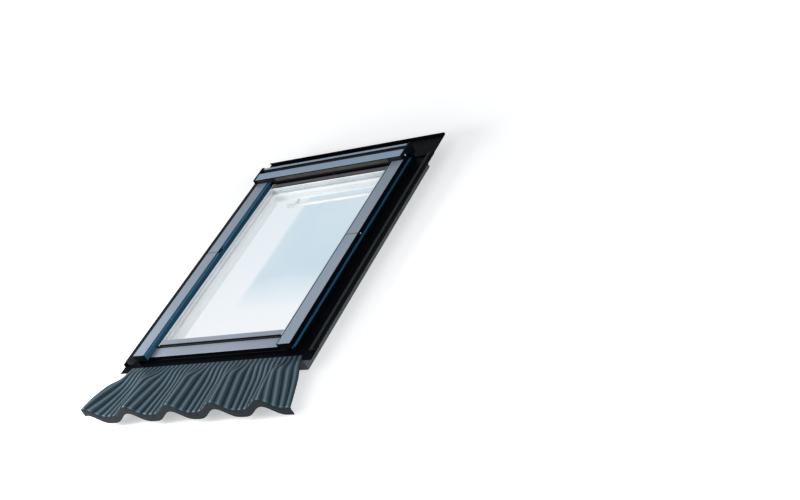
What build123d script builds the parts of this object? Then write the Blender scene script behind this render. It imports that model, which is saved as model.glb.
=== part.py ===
from build123d import *
import os
from math import cos, pi, radians, sin

os.makedirs("parts", exist_ok=True)

# A centre-pivot timber roof window with its cladding, tile flashing and apron.
# It lies in the plane of the roof: X runs across the window, Y up the slope, Z out of the roof.
# The origin is the middle of the frame, on the plane of the roof deck that the brackets stand on.

# Timber frame
frame_width = 780.0
frame_height = 1178.0
frame_wall = 40.0
frame_depth = 98.0
deck_to_underside = 60.0
sill_drop = 14.0
lining_rebate_width = 10.0
lining_rebate_height = 9.0
timber_edge = 1.5

# Timber sash
side_gap = 8.0
sill_gap = 10.0
vent_gap = 32.0
seal_below_seat = 20.0
stile_width = 45.0
bottom_rail_width = 57.0
top_rail_width = 57.0
sash_underside_recess = 38.0
glass_seat_height = 42.0
stile_lip = 4.0
rail_lip = 24.0
nose_reach = 38.0
nose_thickness = 13.7
nose_fall = 2.2
nose_air = 2.0
nose_cover_play = 8.0

# Sealed glass unit
pane_thickness = 4.0
cavity = 16.0
seat_gasket = 2.0
inner_gasket_lap = 20.0
inner_gasket_inset = 0.5
rebate_gap = 2.0
glass_cover = 12.0
bead_overlap = 11.0
bottom_sight = 24.0
bottom_band_from_end = 53.0

# Pivot: the axis lies just under the side covers, a little above the middle
pivot_above_middle = 56.0
seam_below_pivot = 33.0
seam_gap = 1.0
eye_radius = 4.7
pin_radius = 2.5
pin_play = 0.05
arm_foot_reach = 45.0
arm_slope_reach = 26.0
opening_angle = 157.0

# Sheet metal
sheet = 1.0
flashing_sheet = 0.8
bend = 2.0
seat_play = 0.3
cover_width = 62.0
cover_overhang = 4.0
cover_rise = 30.0
cover_skirt = 27.0
bead_rise = 4.0
bead_sheet = 2.0
bead_foot_sheet = 1.2
wall_gap = 1.0

# Hood
hood_front_lap = 50.0
hood_rear_lap = 3.0
hood_rise = 40.0
hood_band = 46.0
hood_groove = 8.0
hood_ridge = 12.0
fascia_height = 21.0
hood_cap_width = 11.0
hood_support_spacing = 400.0
hood_support_width = 40.0
baffle_back = 20.0
baffle_gap = 3.5

# Flashing
gutter_width = 90.0
gutter_height = 12.0
gutter_wall = 14.0
gutter_hem = 8.0
upstand_height = 24.0
side_lap = 11.0
foam_width = 26.0
foam_height = 22.0
foam_inset = 12.0
head_reach = 146.0
sill_reach = 51.0
apron_width = 1010.0
apron_top_width = 860.0
apron_length = 255.0
apron_sheet = 1.6
apron_lap = 25.0
pleats_per_tile = 8
pleat_height = 4.0
apron_lip = 36.0
lip_thickness = 4.0
tile_pitch = 218.0
tile_roll = 45.0
roll_sharpness = 1.6
roll_from_edge = 12.0
collar_width = 25.0

# Ventilation flap and its bar
flap_thickness = 18.0
flap_width = 20.0
flap_end_gap = 12.0
flap_pin_radius = 3.0
flap_bracket_sheet = 2.5
bar_length = 524.0
bar_height = 14.0
bar_width = 18.0
bar_drop = 37.0
bar_lead = 67.5
arm_spacing = 440.0
arm_thickness = 7.0
filter_above_flap = 11.0
filter_thickness = 9.0
filter_end_gap = 17.0

# Latch, barrel bolt and brackets
latch_width = 18.0
latch_thickness = 9.0
latch_case_width = 80.0
latch_case_depth = 22.0
keeper_width = 60.0
latch_travel = 9.0
bolt_radius = 4.0
bolt_length = 55.0
bolt_housing_length = 28.0
bolt_travel = 16.0
bolt_from_top = 17.0
bracket_spacing_y = 900.0
bracket_width = 62.0
bracket_reach = 50.0
bracket_sheet = 2.5
bracket_rise = 36.0
bracket_hole_radius = 3.25
bracket_hole_inset = 18.0
screw_radius = 2.2
screw_head_radius = 4.4
screw_length = 30.0

# Worked-out places of the frame
half_width = frame_width / 2
half_height = frame_height / 2
frame_under = -deck_to_underside
frame_top = frame_under + frame_depth
sill_top = frame_top - sill_drop
inner_x = half_width - frame_wall
inner_low = -half_height + frame_wall
inner_high = half_height - frame_wall

# Worked-out places of the sash
sash_x = inner_x - side_gap
sash_low = inner_low + sill_gap
sash_high = inner_high - vent_gap
sash_under = frame_under + sash_underside_recess
seat_z = sash_under + glass_seat_height
lip_z = seat_z + stile_lip
rail_z = seat_z + rail_lip
sash_inner_x = sash_x - stile_width
rail_inner_low = sash_low + bottom_rail_width
rail_inner_high = sash_high - top_rail_width
nose_under = sill_top + nose_air
nose_top = nose_under + nose_thickness
nose_end = sash_low - nose_reach

# Worked-out places of the glass
glass_under = seat_z + seat_gasket
glass_top = glass_under + 2 * pane_thickness + cavity
bead_x = sash_inner_x + bead_overlap
glass_x = bead_x + glass_cover
bead_high = rail_inner_high + glass_cover
glass_high = bead_high + glass_cover
bottom_sight_y = rail_inner_low - bottom_sight
glass_low = bottom_sight_y - glass_cover
bead_under = glass_top + bead_rise
bead_top = bead_under + bead_sheet

# Worked-out places of the covers and the pivot
pivot_y = pivot_above_middle
pivot_z = frame_top + cover_rise - sheet - seat_play - eye_radius
cover_top = frame_top + cover_rise
cover_out = half_width + cover_overhang
cover_in = cover_out - cover_width
skirt_z = cover_top - cover_skirt
seam_y = pivot_y - seam_below_pivot
foot_z = lip_z + bead_foot_sheet
cover_low = -half_height - side_lap - 5.0
low_cover_z = frame_top + seat_play
low_cover_out = half_width + 2 * sheet + seat_play
bottom_cover_low = nose_end - nose_cover_play

# Worked-out places of the hood
hood_top = bead_top + hood_rise
hood_front = inner_high - hood_front_lap
hood_back = half_height + hood_rear_lap
groove_z = hood_top - hood_groove
upper_cover_high = hood_front + hood_band

# Worked-out places of the flashing
gutter_x = half_width + gutter_width
gutter_in = half_width + seat_play
gutter_end = half_height + side_lap
sill_z = gutter_height - seat_play - flashing_sheet
sill_front = -half_height - sill_reach
apron_high = sill_front + apron_lap
apron_low = apron_high - apron_length
head_z = gutter_height + flashing_sheet + seat_play
head_end = half_height + head_reach
head_x = gutter_x - 2.0

# Worked-out places of the flap, the bar and the latch
flap_radius = flap_thickness / 2
flap_axis_y = sash_high + flap_radius + 0.5
flap_axis_z = sash_under + flap_radius
flap_end = flap_axis_y + flap_width
flap_x = sash_x - flap_end_gap
bar_y = flap_axis_y - bar_lead
bar_z = flap_axis_z - bar_drop
latch_z = rail_z - 13.5
latch_tip = inner_high - 2.8
bolt_y = sash_high - bolt_from_top
bolt_z = sash_under - seat_play - bolt_radius - 2.0
pivot_turn = radians(opening_angle)
parked_y = pivot_y + (bolt_y - pivot_y) * cos(pivot_turn) + (bolt_z - pivot_z) * sin(pivot_turn)
parked_z = pivot_z - (bolt_y - pivot_y) * sin(pivot_turn) + (bolt_z - pivot_z) * cos(pivot_turn)
bracket_y = bracket_spacing_y / 2
bracket_in = half_width - bracket_sheet


def across(y):
    """The plane of a cross section at height y up the slope: X across, Z up."""
    return Plane(origin=(0, y, 0), x_dir=(1, 0, 0), z_dir=(0, -1, 0))


def beside(x):
    """The plane of a cross section at x: Y up the slope, Z up."""
    return Plane(origin=(x, 0, 0), x_dir=(0, 1, 0), z_dir=(1, 0, 0))


def bar_of(outline, plane, length, edge=0.0):
    """A straight piece with one cross section, its edges eased by a radius."""
    with BuildPart() as piece:
        with BuildSketch(plane) as section:
            with BuildLine():
                Polyline(*outline, close=True)
            make_face()
            if edge:
                fillet(section.vertices(), edge)
        extrude(amount=length)
    return piece.part


def folded(route, plane, length, thickness, radius=bend, side=Side.RIGHT):
    """A folded sheet: the route is its outer line, and its bends have a radius."""
    with BuildPart() as piece:
        with BuildSketch(plane):
            with BuildLine():
                if len(route) > 2:
                    FilletPolyline(*route, radius=radius)
                else:
                    Line(*route)
                offset(amount=thickness, side=side)
            make_face()
        extrude(amount=length)
    return piece.part


def block(x, y, z, edge=0.0):
    """A box between two limits on each axis, with its upright edges eased."""
    with BuildPart() as piece:
        with BuildSketch(Plane.XY.offset(z[0])) as base:
            with Locations(((x[0] + x[1]) / 2, (y[0] + y[1]) / 2)):
                Rectangle(x[1] - x[0], y[1] - y[0])
            if edge:
                fillet(base.vertices(), edge)
        extrude(amount=z[1] - z[0])
    return piece.part


def rod(start, direction, radius, length):
    """A round rod from a point along a direction."""
    with BuildPart() as piece:
        with BuildSketch(Plane(origin=start, z_dir=direction)):
            Circle(radius)
        extrude(amount=length)
    return piece.part


def ring(x_out, y_low, y_high, width, z_low, z_high, corner=2.0):
    """A flat rectangular ring, such as a gasket or a spacer."""
    middle = (y_low + y_high) / 2
    with BuildPart() as piece:
        with BuildSketch(Plane.XY.offset(z_low)):
            with Locations((0, middle)):
                RectangleRounded(2 * x_out, y_high - y_low, corner)
                Rectangle(2 * (x_out - width), y_high - y_low - 2 * width, mode=Mode.SUBTRACT)
        extrude(amount=z_high - z_low)
    return piece.part


def mirrored(part):
    """The same piece for the left-hand side."""
    with BuildPart() as piece:
        add(part)
        mirror(about=Plane.YZ, mode=Mode.REPLACE)
    return piece.part


def save(name, *parts):
    """Label the piece, or the group of like pieces, and write its file."""
    with BuildPart() as piece:
        for part in parts:
            add(part)
    piece.part.label = name
    export_step(piece.part, f"parts/{name}.step")


def save_pair(name, part):
    """Write the right-hand piece and its mirror image."""
    save(f"{name}_right", part)
    save(f"{name}_left", mirrored(part))


# Frame timber: two stiles with the rails between them, rebated below for the room's lining
stile_outline = [
    (inner_x, frame_under + lining_rebate_height),
    (inner_x, frame_top),
    (half_width, frame_top),
    (half_width, frame_under),
    (inner_x + lining_rebate_width, frame_under),
    (inner_x + lining_rebate_width, frame_under + lining_rebate_height),
]
hole_play = 0.05
screw_z = bracket_rise / 2 + 4.0
screw_step = 20.0
screw_ys = [row * bracket_y + step * screw_step for row in (-1, 1) for step in (-1, 1)]
bush_radius = 7.0
bush_depth = bolt_travel - side_gap + 4.0
bush_places = [(bolt_y, bolt_z), (parked_y, parked_z)]


def frame_stile(bushes):
    """A frame stile with its bracket seats, its screw holes and a hole for each bush."""
    with BuildPart() as stile:
        add(bar_of(stile_outline, across(half_height), frame_height, timber_edge))
        with BuildSketch(beside(bracket_in - hole_play)):
            for row in (-1, 1):
                with Locations((row * bracket_y, bracket_rise / 2 - hole_play / 2)):
                    Rectangle(bracket_width + 2 * hole_play, bracket_rise + hole_play)
        extrude(amount=frame_wall, mode=Mode.SUBTRACT)
        with BuildSketch(beside(half_width - screw_length - hole_play)):
            with Locations([(y, screw_z) for y in screw_ys]):
                Circle(screw_radius + hole_play)
        extrude(amount=screw_length + 2.0, mode=Mode.SUBTRACT)
        for place in bushes:
            with BuildSketch(beside(inner_x)):
                with Locations(place):
                    Circle(bush_radius + hole_play)
            extrude(amount=bush_depth + hole_play, mode=Mode.SUBTRACT)
    return stile.part


save("frame_stile_right", frame_stile(bush_places))
save("frame_stile_left", mirrored(frame_stile([])))

top_rail_outline = [
    (inner_high, frame_under + lining_rebate_height),
    (inner_high, frame_top),
    (half_height, frame_top),
    (half_height, frame_under),
    (inner_high + lining_rebate_width, frame_under),
    (inner_high + lining_rebate_width, frame_under + lining_rebate_height),
]
save("frame_top_rail", bar_of(top_rail_outline, beside(-inner_x), 2 * inner_x, timber_edge))

sill_flat = 22.0
sill_fall = 6.0
bottom_rail_outline = [
    (inner_low, frame_under + lining_rebate_height),
    (inner_low, sill_top),
    (inner_low - sill_flat, sill_top),
    (-half_height, sill_top - sill_fall),
    (-half_height, frame_under),
    (inner_low - lining_rebate_width, frame_under),
    (inner_low - lining_rebate_width, frame_under + lining_rebate_height),
]
save("frame_bottom_rail", bar_of(bottom_rail_outline, beside(-inner_x), 2 * inner_x, timber_edge))

# Soft seals on the frame: four up the sides, clear of the pivot, and one on the sill
seal_z = seat_z - seal_below_seat
seal_height = 8.0
seal_clear_of_pivot = 52.0
seal_end_gap = 4.0
seal_outline = [
    (inner_x, seal_z),
    (inner_x, seal_z + seal_height),
    (sash_x + seat_play + 2.0, seal_z + seal_height - 1.0),
    (sash_x + seat_play, seal_z + seal_height / 2),
    (sash_x + seat_play + 2.0, seal_z + 1.0),
]
low_seal = pivot_y - seal_clear_of_pivot - inner_low - seal_end_gap
high_seal = sash_high - pivot_y - seal_clear_of_pivot
side_seals = [
    bar_of(seal_outline, across(pivot_y - seal_clear_of_pivot), low_seal),
    bar_of(seal_outline, across(sash_high), high_seal),
]
sill_seal_outline = [
    (inner_low - 17.0, sill_top),
    (inner_low - 9.0, sill_top),
    (inner_low - 10.0, nose_under - seat_play),
    (inner_low - 16.0, nose_under - seat_play),
]
sill_seal_x = sash_inner_x + stile_width / 2
sill_seal = bar_of(sill_seal_outline, beside(-sill_seal_x), 2 * sill_seal_x)
save("frame_seals", *side_seals, *[mirrored(seal) for seal in side_seals], sill_seal)

# Low covers over the frame stiles: a flat top and a leg outside the flashing's upstand
low_cover_in = inner_x + 2.0
low_cover_route = [
    (low_cover_in, low_cover_z + sheet),
    (low_cover_out, low_cover_z + sheet),
    (low_cover_out, gutter_height + 4.0),
]
low_cover = folded(low_cover_route, across(half_height), frame_height, sheet)
save_pair("frame_cover", low_cover)

# Upper covers, fixed to the frame from the seam up to under the hood
return_width = 16.0
return_z = low_cover_z + sheet + seat_play
upper_low = seam_y + seam_gap / 2
notch_high = pivot_y + eye_radius + 1.0
arm_thickness_x = 3.0
arm_in = cover_in + 0.2
arm_out = arm_in + arm_thickness_x
upper_route = [
    (cover_in, bead_top + wall_gap),
    (cover_in, cover_top),
    (cover_out, cover_top),
    (cover_out, return_z),
    (cover_out - return_width, return_z),
]
with BuildPart() as upper_cover:
    add(folded(upper_route, across(upper_cover_high), upper_cover_high - upper_low, sheet))
    with BuildSketch(Plane.XY.offset(bead_top)):
        with Locations(((cover_in + arm_out) / 2, (upper_low + notch_high) / 2)):
            Rectangle(arm_out - cover_in + 1.0, notch_high - upper_low)
    extrude(amount=cover_rise, mode=Mode.SUBTRACT)
save_pair("upper_cover", upper_cover.part)

# Lower covers, carried by the sash, each closed at its bottom end
lower_high = seam_y - seam_gap / 2
cover_foot = foot_z + seat_play
lower_route = [
    (sash_x, cover_foot),
    (cover_in, cover_foot),
    (cover_in, cover_top),
    (cover_out, cover_top),
    (cover_out, skirt_z),
]
end_plate = [
    (cover_in + sheet / 2, skirt_z),
    (cover_in + sheet / 2, cover_top - sheet / 2),
    (cover_out - sheet / 2, cover_top - sheet / 2),
    (cover_out - sheet / 2, skirt_z),
]
with BuildPart() as lower_cover:
    add(folded(lower_route, across(lower_high), lower_high - cover_low, sheet))
    add(bar_of(end_plate, across(cover_low + sheet), sheet))
    add(
        block(
            (cover_in + sheet, sash_x + 1.0),
            (cover_low - 1.0, sash_low),
            (foot_z - 1.0, skirt_z),
        ),
        mode=Mode.SUBTRACT,
    )
    add(
        block(
            (cover_in - 1.0, cover_in + sheet + 1.0),
            (cover_low - 1.0, sash_low - 2.0),
            (foot_z - 1.0, skirt_z),
        ),
        mode=Mode.SUBTRACT,
    )
save_pair("lower_cover", lower_cover.part)

# Sash timber: two stiles with the rails between them, rebated for the glass
rebate_x = glass_x + rebate_gap
sash_stile_outline = [
    (sash_inner_x, sash_under),
    (sash_x, sash_under),
    (sash_x, lip_z),
    (rebate_x, lip_z),
    (rebate_x, seat_z),
    (sash_inner_x, seat_z),
]
sash_stile = bar_of(sash_stile_outline, across(sash_high), sash_high - sash_low, timber_edge)
save_pair("sash_stile", sash_stile)

rebate_high = glass_high + rebate_gap
nose_x = bead_x + glass_cover + 9.0
sash_top_outline = [
    (rail_inner_high, sash_under),
    (sash_high, sash_under),
    (sash_high, rail_z),
    (rebate_high, rail_z),
    (rebate_high, seat_z),
    (rail_inner_high, seat_z),
]
case_x = latch_case_width / 2
case_back = sash_high - latch_case_depth
case_floor = seat_z + 4.0
top_ear = [
    (rebate_high, lip_z + seat_play),
    (rebate_high, rail_z),
    (sash_high, rail_z),
    (sash_high, lip_z + seat_play),
]
with BuildPart() as sash_top:
    add(bar_of(sash_top_outline, beside(-sash_inner_x), 2 * sash_inner_x, timber_edge))
    add(bar_of(top_ear, beside(-nose_x), 2 * nose_x, timber_edge))
    add(
        block(
            (-case_x - seat_play, case_x + seat_play),
            (case_back - seat_play, sash_high + 1.0),
            (case_floor, rail_z + 1.0),
        ),
        mode=Mode.SUBTRACT,
    )
save("sash_top_rail", sash_top.part)

# The bottom rail has a nose that reaches out over the sill
rebate_low = glass_low - rebate_gap
ledge_z = nose_top
rail_block = [
    (rail_inner_low, sash_under),
    (rail_inner_low, seat_z),
    (sash_low, seat_z),
    (sash_low, sash_under),
]
nose_outline = [
    (rebate_low, seat_z - timber_edge),
    (rebate_low, ledge_z),
    (sash_low, ledge_z),
    (nose_end, nose_top - nose_fall),
    (nose_end, nose_under),
    (sash_low, nose_under),
    (sash_low, seat_z - timber_edge),
]
with BuildPart() as sash_bottom:
    add(bar_of(rail_block, beside(-sash_inner_x), 2 * sash_inner_x, timber_edge))
    add(bar_of(nose_outline, beside(-sash_inner_x), 2 * sash_inner_x))
    nose_ear = [
        (rebate_low, lip_z + seat_play),
        (rebate_low, ledge_z),
        (sash_low, ledge_z),
        (nose_end, nose_top - nose_fall),
        (nose_end, nose_under),
        (sash_low, nose_under),
        (sash_low, lip_z + seat_play),
    ]
    add(bar_of(nose_ear, beside(-nose_x), 2 * nose_x))
save("sash_bottom_rail", sash_bottom.part)

# Sealed glass unit: two panes, a metal spacer and its edge seal
pane_middle = (glass_low + glass_high) / 2
for name, pane_z in (("inner_pane", glass_under), ("outer_pane", glass_top - pane_thickness)):
    with BuildPart() as pane:
        with BuildSketch(Plane.XY.offset(pane_z)):
            with Locations((0, pane_middle)):
                Rectangle(2 * glass_x, glass_high - glass_low)
        extrude(amount=pane_thickness)
        chamfer(pane.faces().sort_by(Axis.Z)[-1].edges(), 0.5)
    save(name, pane.part)
edge_seal_width = 6.0
spacer_width = 7.0
spacer_x = glass_x - edge_seal_width
save(
    "pane_spacer",
    ring(
        spacer_x,
        glass_low + edge_seal_width,
        glass_high - edge_seal_width,
        spacer_width,
        glass_under + pane_thickness,
        glass_top - pane_thickness,
    ),
)
save(
    "pane_edge_seal",
    ring(
        glass_x - 0.5,
        glass_low + 0.5,
        glass_high - 0.5,
        edge_seal_width - 0.5,
        glass_under + pane_thickness,
        glass_top - pane_thickness,
        0.5,
    ),
)

# Gaskets under and over the glass
save(
    "inner_gasket",
    ring(
        sash_inner_x + inner_gasket_lap,
        rail_inner_low - inner_gasket_lap,
        rail_inner_high + inner_gasket_lap,
        inner_gasket_lap - inner_gasket_inset,
        seat_z,
        glass_under,
    ),
)
outer_gasket_width = 10.0
outer_gasket_x = bead_x + outer_gasket_width
save(
    "outer_gasket",
    ring(
        outer_gasket_x,
        bottom_sight_y - outer_gasket_width,
        bead_high + outer_gasket_width,
        outer_gasket_width,
        glass_top,
        bead_under,
        1.0,
    ),
)

# Glazing beads: a ledge over the glass edge, a leg outside it and a foot on the timber
bead_leg_out = cover_in - wall_gap
bead_leg_in = bead_leg_out - 1.5
side_bead_outline = [
    (bead_x, bead_under),
    (bead_x, bead_top),
    (bead_leg_out, bead_top),
    (bead_leg_out, foot_z),
    (sash_x, foot_z),
    (sash_x, lip_z),
    (bead_leg_in, lip_z),
    (bead_leg_in, bead_under),
]
band_low = -half_height + bottom_band_from_end
side_bead_high = rebate_high + 12.0
with BuildPart() as side_bead:
    add(bar_of(side_bead_outline, across(side_bead_high), side_bead_high - band_low))
    add(
        block(
            (bead_leg_in - 1.0, sash_x + 1.0),
            (band_low - 1.0, rebate_low),
            (lip_z - 1.0, ledge_z + sheet + 2 * seat_play),
        ),
        mode=Mode.SUBTRACT,
    )
    add(
        block(
            (bead_leg_in - 1.0, bead_leg_out + 1.0),
            (rebate_high, side_bead_high + 1.0),
            (lip_z - 1.0, rail_z + seat_play),
        ),
        mode=Mode.SUBTRACT,
    )
save_pair("side_bead", side_bead.part)

bead_join = 0.2
inner_span = bead_x - bead_join
top_bead_leg = hood_front + 1.0
top_bead_outline = [
    (bead_high, bead_under),
    (bead_high, bead_top),
    (top_bead_leg, bead_top),
    (top_bead_leg, rail_z + seat_play + bead_foot_sheet),
    (sash_high - 1.0, rail_z + seat_play + bead_foot_sheet),
    (sash_high - 1.0, rail_z + seat_play),
    (top_bead_leg - 1.5, rail_z + seat_play),
    (top_bead_leg - 1.5, bead_under),
]
save("top_bead", bar_of(top_bead_outline, beside(-inner_span), 2 * inner_span))

bottom_bead_outline = [
    (bottom_sight_y, bead_under),
    (bottom_sight_y, bead_top),
    (band_low, bead_top),
    (band_low, bead_under - 2.0),
    (band_low + 1.5, bead_under - 2.0),
    (band_low + 1.5, bead_under),
]
save("bottom_bead", bar_of(bottom_bead_outline, beside(-inner_span), 2 * inner_span))
bottom_seal_outline = [
    (band_low + 7.0, bead_under),
    (band_low + 2.0, bead_under),
    (band_low + 2.0, ledge_z + seat_play),
    (band_low + 7.0, ledge_z + seat_play),
]
save("bottom_bead_seal", bar_of(bottom_seal_outline, beside(-inner_span), 2 * inner_span))

# Cover of the sash's nose
nose_cover_x = bead_leg_out
nose_cover_back = band_low + 1.5
nose_cover_slope = nose_fall / nose_reach
nose_cover_end_z = ledge_z + seat_play + sheet - nose_cover_slope * (sash_low - bottom_cover_low)
nose_cover_route = [
    (nose_cover_back, ledge_z + seat_play + sheet),
    (sash_low - 1.0, ledge_z + seat_play + sheet),
    (bottom_cover_low, nose_cover_end_z),
    (bottom_cover_low, nose_under - 1.5),
]
nose_cover = folded(nose_cover_route, beside(-nose_cover_x), 2 * nose_cover_x, sheet, 1.5, Side.LEFT)
save("bottom_cover", nose_cover)

# Pivot: an arm on the sash, a bracket and pin on the frame
arm_foot = foot_z + 0.1
arm_foot_top = arm_foot + 2.5
arm_foot_low = seam_y + 1.0
arm_foot_high = pivot_y + arm_foot_reach
arm_side = [
    (arm_foot_low, arm_foot),
    (arm_foot_low, cover_top - 1.0 - 6.0),
    (pivot_y - 1.0, pivot_z - 7.0),
    (pivot_y + eye_radius - 0.4, pivot_z - 10.0),
    (pivot_y + arm_slope_reach, arm_foot_top + 4.0),
    (arm_foot_high, arm_foot_top),
    (arm_foot_high, arm_foot),
]
arm_neck = [
    (pivot_y - eye_radius, pivot_z),
    (pivot_y + eye_radius, pivot_z),
    (pivot_y + eye_radius - 0.4, pivot_z - 10.0),
    (pivot_y - eye_radius + 0.4, pivot_z - 10.0),
]
with BuildPart() as pivot_arm:
    with BuildSketch(beside(arm_in)):
        with BuildLine():
            Polyline(*arm_side, close=True)
        make_face()
        with BuildLine():
            Polyline(*arm_neck, close=True)
        make_face()
        with Locations((pivot_y, pivot_z)):
            Circle(eye_radius)
            Circle(pin_radius + pin_play, mode=Mode.SUBTRACT)
    extrude(amount=arm_thickness_x)
    with BuildSketch(Plane.XY.offset(arm_foot)):
        with Locations(((arm_in + sash_x) / 2, (arm_foot_low + arm_foot_high) / 2)):
            Rectangle(sash_x - arm_in, arm_foot_high - arm_foot_low)
    extrude(amount=arm_foot_top - arm_foot)
save_pair("pivot_arm", pivot_arm.part)

plate_sheet = 2.5
plate_half = 35.0
plate_low = sash_under + 2.0
with BuildPart() as pivot_bracket:
    add(
        block(
            (inner_x - plate_sheet, inner_x),
            (pivot_y - plate_half, pivot_y + plate_half),
            (plate_low, frame_top - 1.0),
        )
    )
    with BuildSketch(beside(inner_x - 2 * plate_sheet)):
        with Locations((pivot_y, (frame_top + pivot_z) / 2 - 4.0)):
            Rectangle(2 * eye_radius, pivot_z - frame_top + 8.0)
        with Locations((pivot_y, pivot_z)):
            Circle(eye_radius)
    extrude(amount=2 * plate_sheet)
    with BuildSketch(beside(arm_out + 0.5)):
        with Locations((pivot_y, pivot_z)):
            Circle(eye_radius)
    extrude(amount=inner_x - arm_out - 0.5)
    with BuildSketch(beside(arm_in - 0.3)):
        with Locations((pivot_y, pivot_z)):
            Circle(pin_radius)
    extrude(amount=inner_x - arm_in)
save_pair("pivot_bracket", pivot_bracket.part)

# Hood over the top rail: a light band, a dark groove and a rear ridge, with a fascia and a rain baffle
groove_start = hood_front + hood_band
ridge_start = hood_back - hood_ridge
hood_route = [
    (hood_front, hood_top - 6.0),
    (hood_front, hood_top - 1.0),
    (groove_start, hood_top),
    (groove_start + 2.0, groove_z),
    (ridge_start - 2.0, groove_z),
    (ridge_start, hood_top - 4.0),
    (hood_back, hood_top - 4.0),
    (hood_back, frame_top + 6.0),
]
hood_half = half_width + 2.0
hood = folded(hood_route, beside(-hood_half), 2 * hood_half, sheet, 1.4, Side.RIGHT)
save("hood", hood)

fascia_top = hood_top - sheet - 1.6
fascia_low = fascia_top - fascia_height
fascia_outline = [
    (hood_front + 1.5, fascia_low),
    (hood_front + 1.5, fascia_top),
    (hood_front + 16.0, fascia_top),
    (hood_front + 16.0, fascia_top - 2.0),
    (hood_front + 4.0, fascia_top - 2.0),
    (hood_front + 4.0, fascia_low),
]
baffle_y = hood_front + baffle_back
baffle_x = cover_in - sheet
baffle_outline = [
    (hood_front + 10.0, fascia_top),
    (baffle_y + 2.0, fascia_top),
    (baffle_y + 2.0, rail_z + baffle_gap),
    (baffle_y, rail_z + baffle_gap),
    (baffle_y, fascia_top - 2.0),
    (hood_front + 10.0, fascia_top - 2.0),
]
with BuildPart() as hood_fascia:
    add(bar_of(fascia_outline, beside(-hood_half), 2 * hood_half))
    add(bar_of(baffle_outline, beside(-baffle_x), 2 * baffle_x))
save("hood_fascia", hood_fascia.part)

cap_outline = [
    (hood_front - 2.0, cover_top + 1.0),
    (hood_front - 2.0, hood_top + 1.0),
    (hood_back + 2.0, hood_top + 1.0),
    (hood_back + 2.0, frame_top + 2.0),
    (groove_start + 5.0, frame_top + 2.0),
    (groove_start + 5.0, cover_top + 1.0),
]
with BuildPart() as hood_cap:
    add(bar_of(cap_outline, beside(hood_half + seat_play), hood_cap_width, 5.0))
    chamfer(hood_cap.faces().sort_by(Axis.X)[-1].edges(), 1.5)
save_pair("hood_cap", hood_cap.part)

support_foot = frame_top
support_sheet = 2.0
support_top = groove_z - sheet - seat_play - support_sheet
support_route = [
    (inner_high + 3.0, support_foot + support_sheet),
    (half_height - 4.0, support_foot + support_sheet),
    (half_height - 4.0, support_top),
    (groove_start + 4.0, support_top),
]
supports = []
for row in (-1, 1):
    support_plane = beside((row * hood_support_spacing - hood_support_width) / 2)
    support = folded(support_route, support_plane, hood_support_width, support_sheet, 3.0)
    supports.append(support)
save("hood_supports", *supports)

# Flashing: a gutter up each side, a head section and a sill section
gutter_route = [
    (gutter_in, gutter_height + upstand_height),
    (gutter_in, gutter_height),
    (gutter_x, gutter_height),
    (gutter_x, gutter_height + gutter_wall),
    (gutter_x - gutter_hem, gutter_height + gutter_wall - 2.0),
]
with BuildPart() as gutter:
    add(folded(gutter_route, across(gutter_end), 2 * gutter_end, flashing_sheet, 1.5, Side.LEFT))
    add(
        block(
            (gutter_in - 1.0, gutter_in + 4.0),
            (half_height, gutter_end + 1.0),
            (gutter_height + flashing_sheet, gutter_height + upstand_height + 1.0),
        ),
        mode=Mode.SUBTRACT,
    )
save_pair("flashing_side", gutter.part)

foam_outline = [
    (gutter_x - foam_inset - foam_width, gutter_height + flashing_sheet),
    (gutter_x - foam_inset, gutter_height + flashing_sheet),
    (gutter_x - foam_inset, gutter_height + foam_height),
]
foam = bar_of(foam_outline, across(half_height), frame_height)
save("gutter_foam", foam, mirrored(foam))

with BuildPart() as head:
    with BuildSketch(beside(-head_x)):
        with BuildLine():
            FilletPolyline(
                (half_height + seat_play, head_z + flashing_sheet + 4.0),
                (half_height + seat_play, head_z),
                (head_end, head_z),
                (head_end, head_z + 12.0),
                (head_end - 8.0, head_z + 10.0),
                radius=1.5,
            )
            offset(amount=flashing_sheet, side=Side.LEFT)
        make_face()
    extrude(amount=2 * head_x)
    add(
        block(
            (-half_width - 1.0, half_width + 1.0),
            (half_height + seat_play, half_height + seat_play + flashing_sheet),
            (head_z + 3.0, head_z + upstand_height - 4.0),
        )
    )
save("flashing_head", head.part)

with BuildPart() as sill:
    add(
        block(
            (-gutter_x, gutter_x),
            (sill_front, -half_height - seat_play),
            (sill_z, sill_z + flashing_sheet),
        )
    )
    for row in (-1, 1):
        add(
            block(
                tuple(sorted((row * (half_width + seat_play), row * gutter_x))),
                (-half_height - 1.0, -half_height + 20.0),
                (sill_z, sill_z + flashing_sheet),
            )
        )
    sill_upstand_y = (-half_height - seat_play - flashing_sheet, -half_height - seat_play)
    add(block((-half_width, half_width), sill_upstand_y, (sill_z, sill_top - 1.5)))
    for row in (-1, 1):
        stile_end_x = tuple(sorted((row * inner_x, row * half_width)))
        add(block(stile_end_x, sill_upstand_y, (sill_z, frame_top)))
save("flashing_sill", sill.part)

# Apron: a pleated sheet that lies flat at the sill, fans out and follows the tiles below it,
# with its front edge turned down over the tiles' ends. A row holds the share of the length, of the
# tiles' wave, a lift and the share of the pleats' height.
pleat_pitch = tile_pitch / pleats_per_tile
pleat_count = round(apron_width / pleat_pitch)
apron_top_z = sill_z + flashing_sheet + seat_play
apron_rows = [
    (0.0, 0.0, 0.0, 0.15),
    (0.1, 0.0, 0.1, 0.6),
    (0.16, 0.2, 1.6, 1.0),
    (0.3, 0.66, 2.4, 1.0),
    (0.45, 1.0, 1.2, 1.0),
    (1.0, 1.0, 0.0, 1.0),
]
lowest_pan = 1.0
lip_back = apron_low + lip_thickness


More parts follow.
